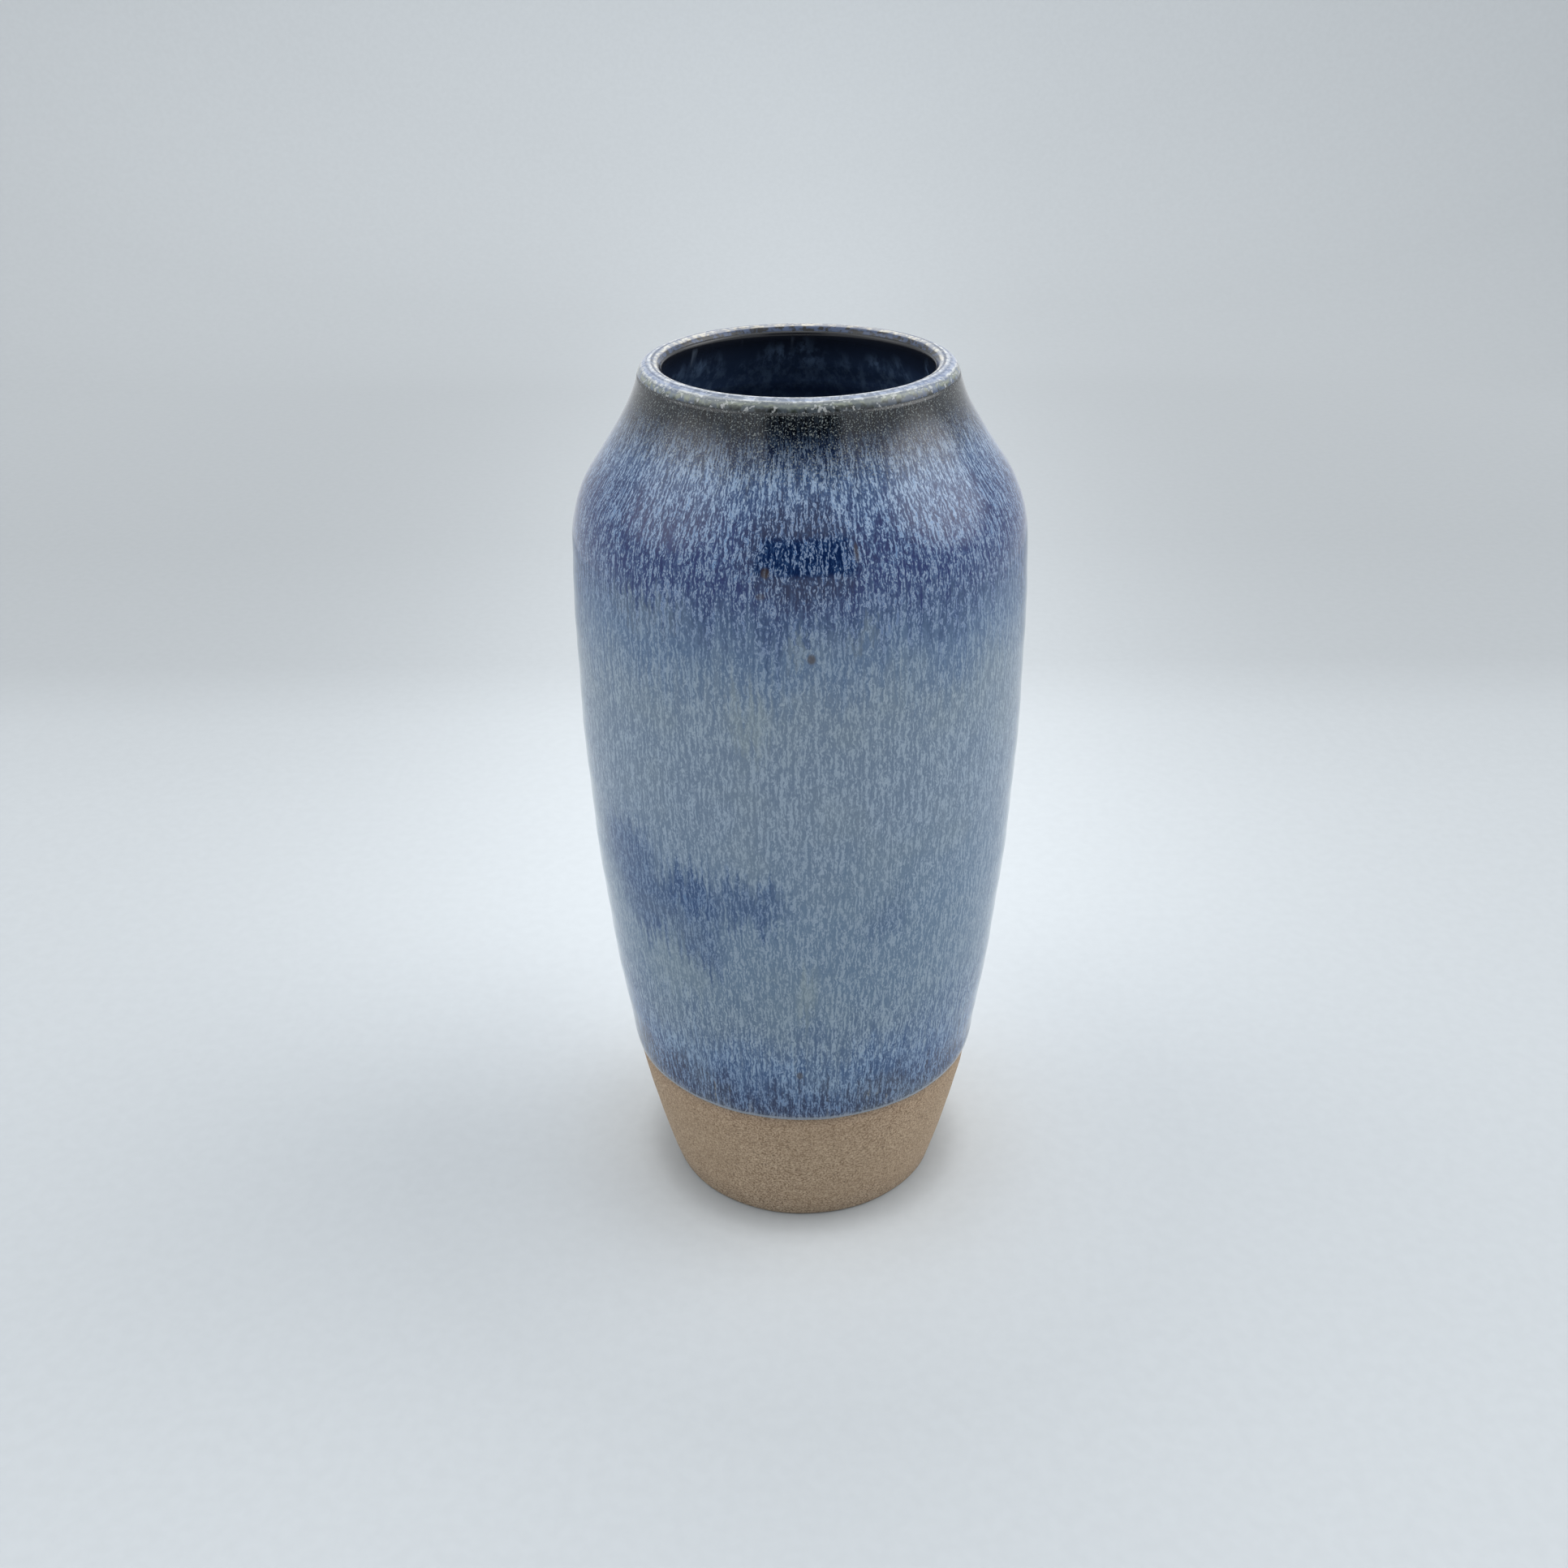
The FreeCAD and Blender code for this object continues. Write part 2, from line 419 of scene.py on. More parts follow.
def rim_coat(outside, lip):
    """The coat over the lip, with the three fine grooves left by the potter's sponge."""
    crown, split, _ = lip
    skin = trace([outside[-1], crown, split], 0.1 * MM)
    angle = angles(SEGMENTS)[None, :]
    front = np.linspace(0.0, skin.distance[-1], 110)[:, None] + 0.0 * angle
    crown_at = LIP_OUTER_ROUND * math.radians(QUARTER_TURN + COLLAR_TILT)
    thickness = np.full_like(front, GLAZE)
    for offset, depth, width in LIP_GROOVES:
        drift = GROOVE_DRIFT * np.sin(2.0 * angle + 5.0 * offset / MM)
        thickness -= depth * hump(front, crown_at + offset + drift, width)
    back = np.linspace(skin.distance[-1], 0.0, 16)
    return coat_piece("rim_glaze_coat", skin, front, thickness, back)


def liner_coat(lip, inside):
    """The inside coat, over the throwing rings that the fingers left."""
    _, split, inner_end = lip
    skin = trace([split, inner_end] + inside, 0.5 * MM)
    length = skin.distance[-1]
    angle = angles(LINER_SEGMENTS)[None, :]
    near_lip = np.linspace(0.0, 20.0 * MM, 40)
    rest = np.linspace(20.0 * MM, length, 190)[1:]
    front = np.concatenate([near_lip, rest])[:, None] + 0.0 * angle
    from_lip = np.clip(front / (14.0 * MM), 0.0, 1.0)
    from_axis = np.clip((length - front) / (10.0 * MM), 0.0, 1.0)
    rings = FINGER_RING * np.sin(FULL_CIRCLE * front / FINGER_PITCH + angle)
    thickness = GLAZE + rings * from_lip * from_axis
    back = np.linspace(length, 0.0, 60)
    return coat_piece("liner_glaze_coat", skin, front, thickness, back, LINER_SUNK)


# ---------------------------------------------------------------- shader building

class Graph:
    """Adds nodes to a shader tree, joined by passing outputs as inputs."""

    def __init__(self, tree):
        self.tree = tree
        tree.nodes.clear()

    def feed(self, socket, value):
        if isinstance(value, bpy.types.NodeSocket):
            self.tree.links.new(value, socket)
        else:
            socket.default_value = value

    def node(self, kind, settings=None, **inputs):
        made = self.tree.nodes.new("ShaderNode" + kind)
        for key, value in (settings or {}).items():
            setattr(made, key, value)
        for key, value in inputs.items():
            self.feed(made.inputs[key.replace("_", " ")], value)
        return made

    def fed(self, kind, operation, values):
        """A node for this operation, with values on its first inputs."""
        made = self.node(kind, {"operation": operation})
        for socket, value in zip(made.inputs, values):
            self.feed(socket, value)
        return made

    def math(self, operation, *values):
        return self.fed("Math", operation, values).outputs[0]

    def plus(self, *values):
        return reduce(lambda first, second: self.math("ADD", first, second), values)

    def minus(self, first, second):
        return self.math("SUBTRACT", first, second)

    def times(self, *values):
        return reduce(lambda first, second: self.math("MULTIPLY", first, second), values)

    def over(self, first, second):
        return self.math("DIVIDE", first, second)

    def swing(self, noise, reach):
        """A distance that swings to both sides of 0, from noise that averages one half."""
        return self.times(self.minus(noise, 0.5), reach)

    def vector(self, operation, *values):
        return self.fed("VectorMath", operation, values).outputs["Vector"]

    def measure(self, operation, *values):
        """The number that an operation on vectors gives."""
        return self.fed("VectorMath", operation, values).outputs["Value"]

    def scaled(self, vector, factor):
        made = self.node("VectorMath", {"operation": "SCALE"}, Scale=factor)
        self.feed(made.inputs[0], vector)
        return made.outputs["Vector"]

    def combine(self, x, y, z):
        return self.node("CombineXYZ", X=x, Y=y, Z=z).outputs[0]

    def from_axis(self, axes):
        """How far a point lies from the Z axis."""
        return self.math("SQRT", self.plus(*(self.math("POWER", axes[k], 2.0) for k in (0, 1))))

    def mix(self, factor, first, second):
        made = self.node("Mix", {"data_type": "RGBA"}, Factor=factor)
        self.feed(made.inputs[6], first)
        self.feed(made.inputs[7], second)
        return made.outputs[2]

    def step(self, value, low, high, start=0.0, end=1.0):
        """A smooth step that goes from start to end as value goes from low to high."""
        return self.node(
            "MapRange", {"interpolation_type": "SMOOTHSTEP"}, Value=value,
            From_Min=low, From_Max=high, To_Min=start, To_Max=end,
        ).outputs[0]

    def ramp(self, factor, stops):
        """A colour ramp of (position, colour) stops."""
        made = self.node("ValToRGB", Fac=factor)
        elements = made.color_ramp.elements
        while len(elements) < len(stops):
            elements.new(0.5)
        for element, (position, colour) in zip(elements, stops):
            element.position = position
            element.color = colour
        return made.outputs["Color"]

    def noise(self, vector, scale, detail=2.0, roughness=0.5):
        return self.noise_node(vector, scale, detail, roughness).outputs["Fac"]

    def noise_node(self, vector, scale, detail=2.0, roughness=0.5):
        return self.node(
            "TexNoise", Vector=vector, Scale=scale, Detail=detail, Roughness=roughness
        )


def srgb(red, green, blue):
    """Opaque linear colour of 8-bit display values."""
    def linear(value):
        value = value / 255.0
        return value / 12.92 if value <= 0.04045 else ((value + 0.055) / 1.055) ** 2.4
    return (*(linear(value) for value in (red, green, blue)), 1.0)


def grey(level):
    return (level, level, level, 1.0)


Place = namedtuple("Place", "position radius height out_x out_y run")

STREAK_LEAN = 0.5                   # of the streaks' run, which follows shoulder and lip
BELLY_RADIUS = 55.0 * MM            # of the cylinder that the belly's patterns unroll from
RIM_RADIUS = 40.0 * MM


def pot_place(g):
    """Where a shading point is on the pot: its radius, height and outward direction.

    run is the way along the meridian, which streaks follow over the shoulder and lip.
    """
    position = g.node("TexCoord").outputs["Object"]
    axes = g.node("SeparateXYZ", Vector=position).outputs
    radius = g.from_axis(axes)
    run = g.minus(axes[2], g.times(radius, STREAK_LEAN))
    return Place(position, radius, axes[2], g.over(axes[0], radius), g.over(axes[1], radius), run)


def unrolled(g, place, radius=BELLY_RADIUS, run=None):
    """The pot's skin as a cylinder of one radius, with the run along its axis."""
    return g.combine(
        g.times(place.out_x, radius), g.times(place.out_y, radius), run or place.run
    )


def grain(g, skin, scale, squeeze, detail=2.0, roughness=0.5):
    """Noise over the skin, with its features 1/squeeze times as tall as wide."""
    return g.noise(
        g.vector("MULTIPLY", skin, (1.0, 1.0, squeeze)), scale, detail, roughness
    )


def finish_material(g, material, colour, roughness, bump_height, bump_distance, **fixed):
    """The material with its surface: colour, roughness, fine relief and fixed values."""
    normal = g.node("Bump", Strength=1.0, Distance=bump_distance, Height=bump_height)
    shader = g.node("BsdfPrincipled", Base_Color=colour, Roughness=roughness,
                    Normal=normal.outputs[0], **fixed)
    g.node("OutputMaterial", Surface=shader.outputs[0])
    return material


def new_material(name):
    material = bpy.data.materials.new(name)
    material.use_nodes = True
    return material, Graph(material.node_tree)


# ---------------------------------------------------------------- outer glaze

# The streaked glaze, by height in mm: the colour between streaks and the streaks' own.
GLAZE_BANDS = (
    (45.0, (34, 50, 67), (116, 114, 116)),
    (48.0, (12, 34, 72), (95, 122, 159)),
    (54.0, (10, 35, 76), (95, 126, 164)),
    (62.0, (52, 84, 126), (131, 159, 189)),
    (74.0, (75, 100, 132), (139, 159, 178)),
    (92.0, (95, 119, 144), (133, 152, 168)),
    (118.0, (97, 121, 146), (133, 152, 170)),
    (150.0, (105, 124, 146), (141, 159, 177)),
    (176.0, (103, 122, 144), (140, 157, 171)),
    (192.0, (80, 105, 137), (117, 140, 165)),
    (202.0, (51, 77, 114), (92, 118, 158)),
    (212.0, (3, 36, 96), (80, 111, 150)),
    (222.0, (2, 30, 84), (93, 128, 171)),
    (231.0, (35, 66, 110), (131, 158, 190)),
    (238.0, (8, 24, 54), (79, 97, 121)),
    (243.0, (1, 4, 12), (28, 39, 52)),
    (247.0, (2, 3, 4), (39, 45, 51)),
)
BAND_LOW, BAND_HIGH = 40.0 * MM, 250.0 * MM
GLAZE_IOR = 1.52
GLAZE_RELIEF = 0.03 * MM            # of the streaks, which stand a little proud

# Spots on the glaze: azimuth from the front in degrees, then height, half width and half
# height in mm, and strength. The back's are of the same kinds as the front's.
Spot = namedtuple("Spot", "azimuth height half_width half_height strength")

BLUE_CLOUDS = (
    Spot(-52.0, 126.0, 15.0, 14.0, 0.8),
    Spot(-44.0, 114.0, 16.0, 15.0, 0.9),
    Spot(-30.0, 120.0, 12.0, 12.0, 1.0),
    Spot(-29.0, 104.0, 9.0, 10.0, 0.8),
    Spot(-14.0, 122.0, 12.0, 9.0, 0.8),
    Spot(22.0, 117.0, 7.0, 7.0, 0.4),
    Spot(34.0, 60.0, 13.0, 7.0, 0.5),
    Spot(-18.0, 58.0, 13.0, 8.0, 0.5),
    Spot(126.0, 98.0, 22.0, 13.0, 1.0),
    Spot(152.0, 105.0, 14.0, 9.0, 0.8),
    Spot(-168.0, 134.0, 19.0, 9.0, 0.7),
    Spot(-118.0, 86.0, 18.0, 12.0, 0.9),
    Spot(-148.0, 62.0, 13.0, 8.0, 0.8),
)
# Dark pooled glaze on the shoulder. The front one is also a painted reflection: it darkens the
# glaze where the dark figure in the tent's open front shows in it.
POOLS_AND_PAINTED_REFLECTION = (
    Spot(0.5, 217.5, 15.0, 12.5, 1.0),
    Spot(139.0, 216.0, 12.0, 9.0, 0.7),
    Spot(-104.0, 214.0, 15.0, 9.0, 0.7),
)
OLIVE_CLOUDS = (
    Spot(1.0, 94.0, 3.5, 12.0, 0.6),
    Spot(-12.0, 175.0, 6.0, 8.0, 0.5),
    Spot(0.0, 196.0, 4.0, 3.5, 0.5),
    Spot(14.0, 197.0, 5.0, 3.5, 0.4),
    Spot(-36.0, 92.0, 14.0, 12.0, 0.35),
    Spot(-40.0, 200.0, 14.0, 5.0, 0.35),
    Spot(165.0, 176.0, 7.0, 9.0, 0.5),
    Spot(-92.0, 150.0, 5.0, 12.0, 0.5),
    Spot(98.0, 128.0, 5.0, 10.0, 0.4),
)
IRON_SPECKS = (
    Spot(-8.0, 214.0, 1.0, 1.2, 0.7),
    Spot(13.5, 218.0, 0.6, 2.0, 0.5),
    Spot(-9.0, 208.5, 1.0, 0.8, 0.45),
    Spot(2.5, 193.0, 0.9, 1.2, 0.7),
    Spot(-1.0, 63.0, 0.9, 1.3, 0.6),
    Spot(112.0, 205.0, 1.2, 1.5, 0.7),
    Spot(-160.0, 190.0, 1.0, 1.5, 0.7),
)

CLOUD_DEEP, CLOUD_PALE = srgb(38, 70, 114), srgb(88, 118, 155)
POOL_AND_REFLECTION_DEEP, POOL_AND_REFLECTION_PALE = srgb(8, 30, 68), srgb(50, 84, 132)
CREST_TONE = srgb(196, 210, 228)    # of the palest lines inside the pale streaks
OLIVE_TONE = srgb(142, 154, 148)
COLLAR_FLECK_TONE = srgb(128, 134, 132)
IRON_TONE = srgb(70, 58, 46)
BREAK_LINE_AND_HIGHLIGHT_TONE = srgb(138, 146, 156)

WORM_SHARE, GRIT_SHARE, TRAIL_SHARE = 0.56, 0.28, 0.16
SQUIRM = 1.3 * MM                   # how far the worms are bent sideways
FINGER_REACH = 34.0 * MM            # how far fingers of glaze run past a band's edge
DRIFT_REACH = 14.0 * MM             # how far the bands themselves wander up and down
POOL_AND_REFLECTION_RAGGEDNESS = 0.4               # share of both that the pooled glaze and its painted reflection follow


def band_ramp(g, height, column):
    """The colours in one column of GLAZE_BANDS, by height."""
    low, span = BAND_LOW / MM, (BAND_HIGH - BAND_LOW) / MM
    stops = [((row[0] - low) / span, srgb(*row[column])) for row in GLAZE_BANDS]
    return g.ramp(g.over(g.minus(height, BAND_LOW), BAND_HIGH - BAND_LOW), stops)


def spot_mask(g, place, height, spots, outer, inner):
    """How deep a point lies in any of the spots, with soft edges from outer to inner."""
    deepest = 0.0
    for spot in spots:
        turn = math.radians(spot.azimuth)
        wide, tall = spot.half_width * MM / BELLY_RADIUS, spot.half_height * MM
        middle = (math.sin(turn) / wide, -math.cos(turn) / wide, spot.height * MM / tall)
        here = g.combine(
            g.over(place.out_x, wide), g.over(place.out_y, wide), g.over(height, tall)
        )
        distance = g.measure("DISTANCE", here, middle)
        depth = g.step(distance, outer, inner, 0.0, spot.strength)
        deepest = g.math("MAXIMUM", deepest, depth)
    return deepest


def squirming(g, skin):
    """The unrolled skin, bent so that streaks on it squirm a little sideways."""
    squirm = g.noise_node(skin, 420.0, 1.0).outputs["Color"]
    offset = g.scaled(g.vector("SUBTRACT", squirm, (0.5, 0.5, 0.5)), SQUIRM)
    return g.vector("ADD", skin, offset)


def streaks(g, place):
    """The glaze's fine pattern: squirming worms, grit and straight trails, added up."""
    skin = unrolled(g, place)
    bent = squirming(g, skin)
    return g.plus(
        g.times(grain(g, bent, 1900.0, squeeze=0.13, roughness=0.55), WORM_SHARE),
        g.times(grain(g, bent, 3100.0, squeeze=0.42, detail=1.0), GRIT_SHARE),
        g.times(grain(g, skin, 1500.0, squeeze=0.03, detail=1.0), TRAIL_SHARE),
    )


def fingers(g, place):
    """Long noise down the skin, for edges that break into fingers."""
    return grain(g, squirming(g, unrolled(g, place)), 900.0, squeeze=0.05)


def slow_drift(g, place):
    """Broad noise over the skin."""
    return grain(g, unrolled(g, place), 60.0, squeeze=0.5)


def outer_glaze_material():
    """Blue glaze banded by height, under streaks, clouds, pooled glaze with a painted reflection,
    mottling and specks.
    """
    material, g = new_material("streaked_blue_glaze")
    place = pot_place(g)
    streak = streaks(g, place)
    finger = fingers(g, place)
    drift = g.swing(slow_drift(g, place), DRIFT_REACH)
    off_edge = g.step(place.height, GLAZE_LINE, GLAZE_LINE + 9.0 * MM)
    off_lip = g.step(place.height, HEIGHT - 6.0 * MM, HEIGHT - 36.0 * MM)
    shift = g.times(g.plus(g.swing(finger, FINGER_REACH), drift), off_edge)
    height = g.plus(place.height, g.times(shift, off_lip))
    clouds = spot_mask(g, place, height, BLUE_CLOUDS, outer=1.25, inner=0.35)
    # pooled glaze, and at the front a painted reflection of the dark figure
    pool_and_reflection_height = g.plus(place.height, g.times(shift, POOL_AND_REFLECTION_RAGGEDNESS))
    pools_and_reflection = spot_mask(g, place, pool_and_reflection_height, POOLS_AND_PAINTED_REFLECTION, outer=1.15, inner=0.6)
    deep = g.mix(clouds, band_ramp(g, height, 1), CLOUD_DEEP)
    pale = g.mix(clouds, band_ramp(g, height, 2), CLOUD_PALE)
    deep = g.mix(g.times(pools_and_reflection, 0.9), deep, POOL_AND_REFLECTION_DEEP)
    pale = g.mix(g.times(pools_and_reflection, 0.75), pale, POOL_AND_REFLECTION_PALE)
    colour = g.mix(g.step(streak, 0.425, 0.62), deep, pale)
    colour = g.mix(crests(g, place, streak), colour, CREST_TONE)
    colour = g.mix(g.times(olive(g, place, height), 0.55), colour, OLIVE_TONE)
    colour = g.mix(collar_flecks(g, place), colour, COLLAR_FLECK_TONE)
    specks = spot_mask(g, place, place.height, IRON_SPECKS, outer=1.4, inner=0.6)
    colour = g.mix(specks, colour, IRON_TONE)
    # pale line where the glaze breaks, and a painted highlight on its rolled edge
    colour = g.mix(breaking_line_and_highlight(g, place, finger), colour, BREAK_LINE_AND_HIGHLIGHT_TONE)
    roughness = g.step(streak, 0.3, 0.7, 0.06, 0.12)
    return finish_material(g, material, colour, roughness, streak, GLAZE_RELIEF, IOR=GLAZE_IOR)


def crests(g, place, streak):
    """The palest lines, strongest on the shoulder and gone from the collar."""
    line = g.times(g.step(streak, 0.525, 0.56), g.step(streak, 0.61, 0.575))
    by_height = g.step(place.height, 190.0 * MM, 212.0 * MM, 0.18, 0.40)
    below_collar = g.step(place.height, HEIGHT - 8.0 * MM, HEIGHT - 16.0 * MM)
    return g.times(line, by_height, below_collar)


def olive(g, place, height):
    """Where the glaze turns olive: in its clouds, and in a weak mottle on the belly."""
    clouds = spot_mask(g, place, height, OLIVE_CLOUDS, outer=1.3, inner=0.3)
    mottle = g.step(g.noise(place.position, 48.0), 0.45, 0.7, 0.0, 0.22)
    on_belly = g.step(place.height, 206.0 * MM, 192.0 * MM)
    return g.math("MAXIMUM", clouds, g.times(mottle, on_belly))


def collar_flecks(g, place):
    """Fine pale flecks in the collar's near black."""
    fleck = g.step(g.noise(place.position, 2600.0, 2.0, 0.6), 0.57, 0.64)
    return g.times(fleck, g.step(place.height, HEIGHT - 24.0 * MM, HEIGHT - 11.0 * MM, 0.0, 0.9))


def breaking_line_and_highlight(g, place, finger):
    """The thin pale line where the glaze breaks over the bare clay, with a painted highlight on
    its rolled edge.
    """
    above = g.plus(g.minus(place.height, GLAZE_LINE), g.swing(finger, 1.0 * MM))
    return g.step(above, 1.5 * MM, 0.9 * MM, 0.0, 0.8)


# ---------------------------------------------------------------- rim glaze

RIM_INNER, RIM_OUTER = 35.0 * MM, 42.0 * MM
RIM_TONES = (                       # from RIM_INNER to RIM_OUTER; the near-white rings are pale glaze with painted highlight
    (0.10, srgb(22, 22, 24)),
    (0.15, srgb(60, 56, 52)),
    (0.19, srgb(222, 216, 202)),
    (0.27, srgb(232, 230, 224)),
    (0.32, srgb(104, 108, 118)),
    (0.38, srgb(92, 98, 112)),
    # near-white rings here and at 0.75: pale glaze with a painted highlight on the crown
    (0.43, srgb(236, 236, 234)),
    (0.50, srgb(208, 214, 224)),
    (0.56, srgb(132, 140, 156)),
    (0.63, srgb(164, 174, 196)),
    (0.70, srgb(174, 184, 204)),
    (0.75, srgb(224, 226, 224)),
    (0.80, srgb(126, 132, 134)),
    (0.87, srgb(140, 146, 132)),
    (0.92, srgb(70, 76, 70)),
    (0.97, srgb(28, 32, 32)),
)
RIM_BLOTCH_BACK, RIM_BLOTCH_FRONT = srgb(84, 104, 142), srgb(92, 100, 108)
RIM_FLECK_TONE = srgb(228, 230, 228)
RIM_LEAN = -0.8 * MM                # how far the rings sit off centre, front to back
RIM_DRIFT = 0.7 * MM


def rim_glaze_material():
    """Pale over the crown in fine rings, the whitest of them painted highlight, breaking to cream
    and olive at its edges.
    """
    material, g = new_material("pale_rim_glaze")
    place = pot_place(g)
    streak = streaks(g, place)
    around = unrolled(g, place, RIM_RADIUS, g.times(place.radius, 2.2))
    dashes = g.noise(around, 620.0, 2.0, 0.6)
    blotch = g.noise(place.position, 480.0, 2.0, 0.6)
    on_crown = g.step(place.radius, 36.2 * MM, 37.2 * MM)   # clear of the inner edge
    fray = g.step(place.radius, 38.5 * MM, 40.5 * MM, 0.35 * MM, 1.4 * MM)
    across = g.plus(
        place.radius, g.swing(dashes, fray), g.swing(slow_drift(g, place), RIM_DRIFT),
        g.times(place.out_y, RIM_LEAN, on_crown),
    )
    body = g.ramp(g.over(g.minus(across, RIM_INNER), RIM_OUTER - RIM_INNER), RIM_TONES)
    front = g.step(place.out_y, -0.55, -0.95)
    shade = g.mix(0.55, body, g.mix(front, RIM_BLOTCH_BACK, RIM_BLOTCH_FRONT))
    colour = g.mix(g.step(blotch, 0.42, 0.58), shade, body)
    fleck = g.times(g.step(dashes, 0.58, 0.66, 0.0, 0.45), on_crown)
    colour = g.mix(fleck, colour, RIM_FLECK_TONE)
    roughness = g.step(streak, 0.3, 0.7, 0.08, 0.16)
    return finish_material(g, material, colour, roughness, dashes, GLAZE_RELIEF, IOR=GLAZE_IOR)


# ---------------------------------------------------------------- liner glaze

LINER_FADE = 40.0 * MM              # depth below the lip where the liner's tone settles
LINER_TONES = (                     # from the lip to LINER_FADE
    (0.03, srgb(24, 24, 26)),
    (0.10, srgb(26, 31, 42)),
    (0.20, srgb(36, 48, 70)),
    (0.30, srgb(54, 74, 106)),
    (0.6, srgb(70, 92, 128)),
    (1.0, srgb(70, 92, 130)),
)
HAZE_TONE = srgb(104, 128, 158)
HAZE_REACH = 26.0 * MM              # how far the haze's upper edge wanders
DROP_TONE = srgb(120, 134, 152)


def liner_glaze_material():
    """Navy, near black under the lip, with a smoky paler haze that ran down the wall."""
    material, g = new_material("navy_liner_glaze")
    place = pot_place(g)
    skin = unrolled(g, place)
    depth = g.minus(HEIGHT, place.height)
    base = g.ramp(g.over(depth, LINER_FADE), LINER_TONES)
    lowered = g.plus(depth, g.swing(slow_drift(g, place), HAZE_REACH))
    smoke = g.step(grain(g, skin, 230.0, squeeze=0.85, detail=5.0, roughness=0.7), 0.43, 0.64)
    haze = g.times(g.step(lowered, 5.0 * MM, 12.0 * MM, 0.0, 0.75), smoke)
    colour = g.mix(haze, base, HAZE_TONE)
    drops = g.step(grain(g, skin, 230.0, squeeze=0.10, detail=1.0), 0.70, 0.78, 0.0, 0.4)
    under_lip = g.times(g.step(depth, 9.0 * MM, 6.0 * MM), g.step(depth, 2.5 * MM, 4.0 * MM))
    colour = g.mix(g.times(drops, under_lip), colour, DROP_TONE)
    streak = streaks(g, place)
    roughness = g.step(streak, 0.3, 0.7, 0.12, 0.24)
    return finish_material(g, material, colour, roughness, streak, GLAZE_RELIEF, IOR=GLAZE_IOR)


# ---------------------------------------------------------------- bare clay

CLAY_TOP = 46.0 * MM
CLAY_TONES = (                      # from the foot to CLAY_TOP; darkest just under the glaze, toasted there and with painted shade under the glaze's roll
    (0.0, srgb(142, 119, 96)),
    (0.2, srgb(164, 136, 106)),
    (0.6, srgb(170, 141, 109)),
    (0.9, srgb(166, 134, 102)),
    # painted shade under the glaze's rolled edge, over the clay's toasted band
    (0.955, srgb(146, 114, 86)),
    (0.99, srgb(98, 76, 58)),
)
SAND_DARK, SAND_LIGHT = srgb(88, 69, 50), srgb(234, 218, 194)
GRIT_TONE, CLOUDY_TONE = srgb(124, 102, 80), srgb(156, 134, 108)
TURNING_TONE, GROG_TONE = srgb(134, 112, 88), srgb(84, 66, 50)
CLAY_RELIEF = 0.14 * MM


def clay_material():
    """Matte buff stoneware: fine sandy grain, dark grog, toasted and darkened by painted shade
    under the glaze.
    """
    material, g = new_material("bare_stoneware")
    place = pot_place(g)
    sand = g.noise(place.position, 1900.0, 2.0, 0.75)
    grit = grain(g, unrolled(g, place), 620.0, squeeze=1.8, roughness=0.6)
    cloudy = g.noise(place.position, 42.0, 3.0)
    level = g.vector("MULTIPLY", place.position, (0.12, 0.12, 1.0))
    turning = g.noise(level, 620.0, 3.0, 0.6)
    base = g.ramp(g.over(place.height, CLAY_TOP), CLAY_TONES)
    dark, light = g.mix(0.62, base, SAND_DARK), g.mix(0.36, base, SAND_LIGHT)
    colour = g.mix(g.step(sand, 0.36, 0.64), dark, light)
    colour = g.mix(g.step(grit, 0.52, 0.72, 0.0, 0.30), colour, GRIT_TONE)
    colour = g.mix(g.step(cloudy, 0.35, 0.65, 0.0, 0.22), colour, CLOUDY_TONE)
    colour = g.mix(g.step(turning, 0.4, 0.7, 0.0, 0.12), colour, TURNING_TONE)
    colour = g.mix(grog(g, place), colour, GROG_TONE)
    bump = g.plus(g.times(sand, 0.5), g.times(turning, 0.3), g.times(grit, 0.2))
    roughness = g.step(sand, 0.3, 0.7, 0.74, 0.92)
    return finish_material(g, material, colour, roughness, bump, CLAY_RELIEF)


def grog(g, place):
    """Small dark grains, in one of ten cells of a fine scatter."""
    cells = g.node("TexVoronoi", Vector=place.position, Scale=900.0).outputs
    picked = g.node("SeparateColor", Color=cells["Color"]).outputs[0]
    grains = g.step(cells["Distance"], 0.45, 0.2, 0.0, 0.5)
    return g.times(g.math("GREATER_THAN", picked, 0.90), grains)


# ---------------------------------------------------------------- pieces on the frame

def add_piece(piece, node, material):
    """Puts a piece on the pot's one body, in the place of a CAD node."""
    piece.data.materials.append(material)
    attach(piece, "root")
    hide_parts(node)


def build_vase():
    """The clay and its three coats, each with its own material."""
    outside = outside_stations()
    lip = lip_stations(outside[-1])
    inside = inside_stations(outside)
    add_piece(clay_piece(outside, lip, inside), "clay_body", clay_material())
    add_piece(outer_coat(outside), "outer_glaze", outer_glaze_material())
    add_piece(rim_coat(outside, lip), "rim_glaze", rim_glaze_material())
    add_piece(liner_coat(lip, inside), "liner_glaze", liner_glaze_material())


# ---------------------------------------------------------------- stage

FLOOR_EDGE = 0.66                   # radius of the tent's floor, which the glaze mirrors
ARENA_FLAT = 1.0                    # radius where the backdrop starts to rise
COVE_ROUND = 0.45
ARENA_HEIGHT = 2.2
FLOOR_DROP = 0.05 * MM

